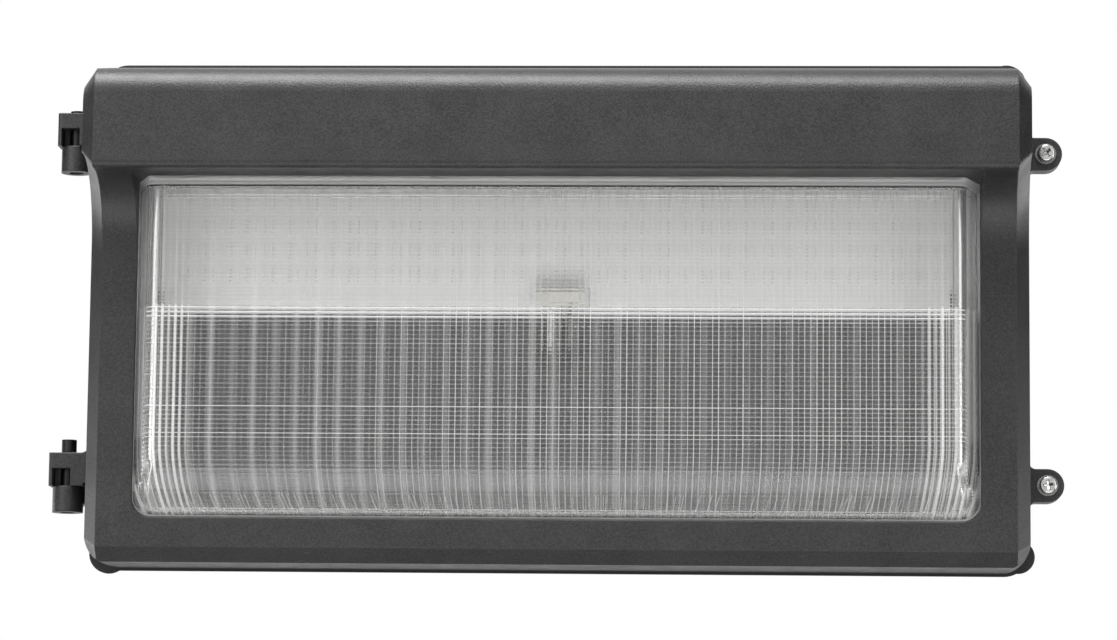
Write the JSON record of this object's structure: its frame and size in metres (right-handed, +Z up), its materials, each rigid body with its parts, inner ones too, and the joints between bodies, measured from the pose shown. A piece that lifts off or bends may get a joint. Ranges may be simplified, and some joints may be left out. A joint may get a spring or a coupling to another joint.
{
  "type": "wall pack light",
  "caption": "Outdoor wall pack light: cast back box, hinged cast door with a hood over a prismatic glass refractor, LED board and driver inside.",
  "frame": {"origin": "middle of the back box's flat wall face", "axes": "+X to the viewer's right, +Y into the wall, +Z up"},
  "size_m": [0.4583, 0.1979, 0.2355],
  "materials": {
    "cast_paint": "fine-textured charcoal powder coat on die-cast aluminium",
    "door_paint": "fine-textured charcoal powder coat on die-cast aluminium",
    "pin_steel": "dark zinc-plated steel, satin",
    "gasket_rubber": "matt black silicone rubber",
    "foam_pad": "closed-cell foam rubber",
    "plug_metal": "charcoal painted zinc",
    "heat_aluminium": "mill-finish sheet",
    "board_white": "white solder mask",
    "chip_yellow": "LED package with pale phosphor",
    "connector_white": "moulded connector",
    "lead_white": "insulated lead",
    "lead_grey": "insulated lead",
    "lead_supply": "insulated supply leads",
    "grommet_rubber": "black rubber",
    "gear_grey": "grey painted sheet steel",
    "driver_case": "satin sheet aluminium case",
    "terminal_plastic": "off-white moulded block",
    "surge_plastic": "black moulded case",
    "screw_steel": "bright zinc-plated steel",
    "ear_screw_steel": "bright stainless steel",
    "earth_green": "green passivated steel",
    "prismatic_glass": "clear pressed borosilicate glass with prisms",
    "clip_steel": "spring steel"
  },
  "bodies": {
    "housing": {"back_box": "cast_paint", "hinge_pin_upper": "pin_steel", "hinge_pin_lower": "pin_steel", "housing_gasket": "gasket_rubber", "wall_gasket": "foam_pad", "conduit_plugs": "plug_metal", "heat_plate": "heat_aluminium", "heat_plate_screws": "screw_steel", "led_board": "board_white", "led_board_screws": "screw_steel", "led_chips": "chip_yellow", "led_connector": "connector_white", "lead_positive": "lead_white", "lead_negative": "lead_grey", "supply_leads": "lead_supply", "lead_grommet": "grommet_rubber", "gear_plate": "gear_grey", "gear_plate_screws": "screw_steel", "led_driver": "driver_case", "driver_screws": "screw_steel", "terminal_block": "terminal_plastic", "terminal_screws": "screw_steel", "surge_protector": "surge_plastic", "earth_screw": "earth_green"},
    "door": {"door_frame": "door_paint", "glass_refractor": "prismatic_glass", "glass_gasket": "gasket_rubber", "glass_clips": "clip_steel", "clip_screws": "screw_steel"},
    "washers_upper": {"ear_washers_upper": "ear_screw_steel"},
    "screw_upper": {"ear_screw_upper": "ear_screw_steel"},
    "washers_lower": {"ear_washers_lower": "ear_screw_steel"},
    "screw_lower": {"ear_screw_lower": "ear_screw_steel"}
  },
  "joints": [
    {"name": "door_swing", "type": "hinge", "parent": "housing", "child": "door", "pos_m": [-0.2227, -0.128, -0.00145], "axis": [0, 0, -1], "range_deg": [0, 175]},
    {"name": "ear_upper_lift", "type": "slide", "parent": "door", "child": "washers_upper", "axis": [0, -1, 0], "range_m": [0, 0.0085]},
    {"name": "ear_upper_turn", "type": "hinge", "parent": "washers_upper", "child": "screw_upper", "pos_m": [0.2201, -0.131, 0.07425], "axis": [0, -1, 0], "range_deg": [0, 4320]},
    {"name": "ear_lower_lift", "type": "slide", "parent": "door", "child": "washers_lower", "axis": [0, -1, 0], "range_m": [0, 0.0085]},
    {"name": "ear_lower_turn", "type": "hinge", "parent": "washers_lower", "child": "screw_lower", "pos_m": [0.2201, -0.131, -0.0766], "axis": [0, -1, 0], "range_deg": [0, 4320]}
  ]
}
